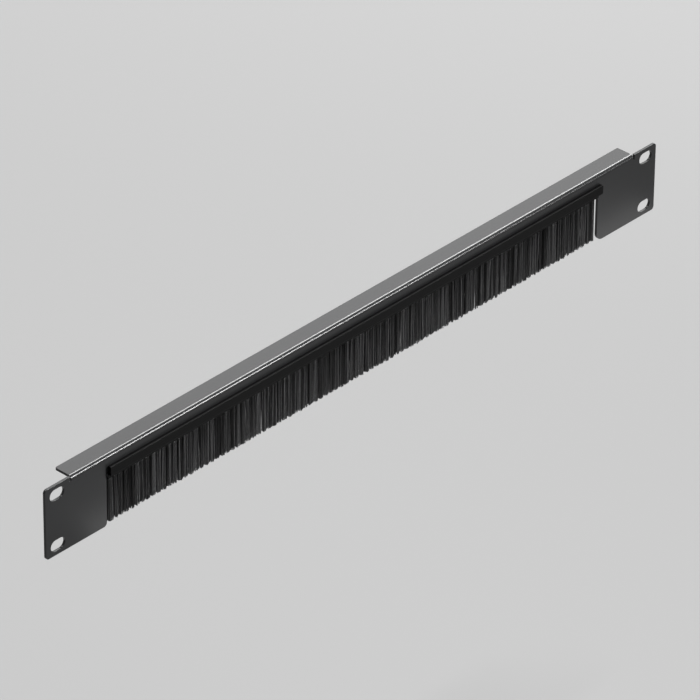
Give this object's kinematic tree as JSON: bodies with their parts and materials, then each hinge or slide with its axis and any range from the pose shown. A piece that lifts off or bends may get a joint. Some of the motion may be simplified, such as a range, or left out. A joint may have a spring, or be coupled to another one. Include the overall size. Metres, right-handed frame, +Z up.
{
  "type": "rack brush strip panel",
  "caption": "Folded sheet-steel rack panel with slotted ears and a black brush curtain clipped into its open cut-out, so that cables pass while dust and air are held back.",
  "frame": {"origin": "centre of the rack bolt pattern, on the rear face of the ears that lies against the rack rails", "axes": "+X along the panel to the right as seen from the front of the rack, +Y to the rear of the rack, +Z up"},
  "size_m": [0.4826, 0.0141, 0.0436],
  "materials": {
    "panel": "dark grey fine-textured powder coat, semi-gloss",
    "holder": "black extruded plastic, satin",
    "channel": "bright zinc-plated strip",
    "wire": "drawn wire",
    "bristles": "black crimped nylon filament, glossy"
  },
  "bodies": {
    "root": {"panel": "panel", "brush_holder": "holder", "brush_channel": "channel", "core_wire": "wire", "bristles": "bristles"}
  },
  "joints": []
}
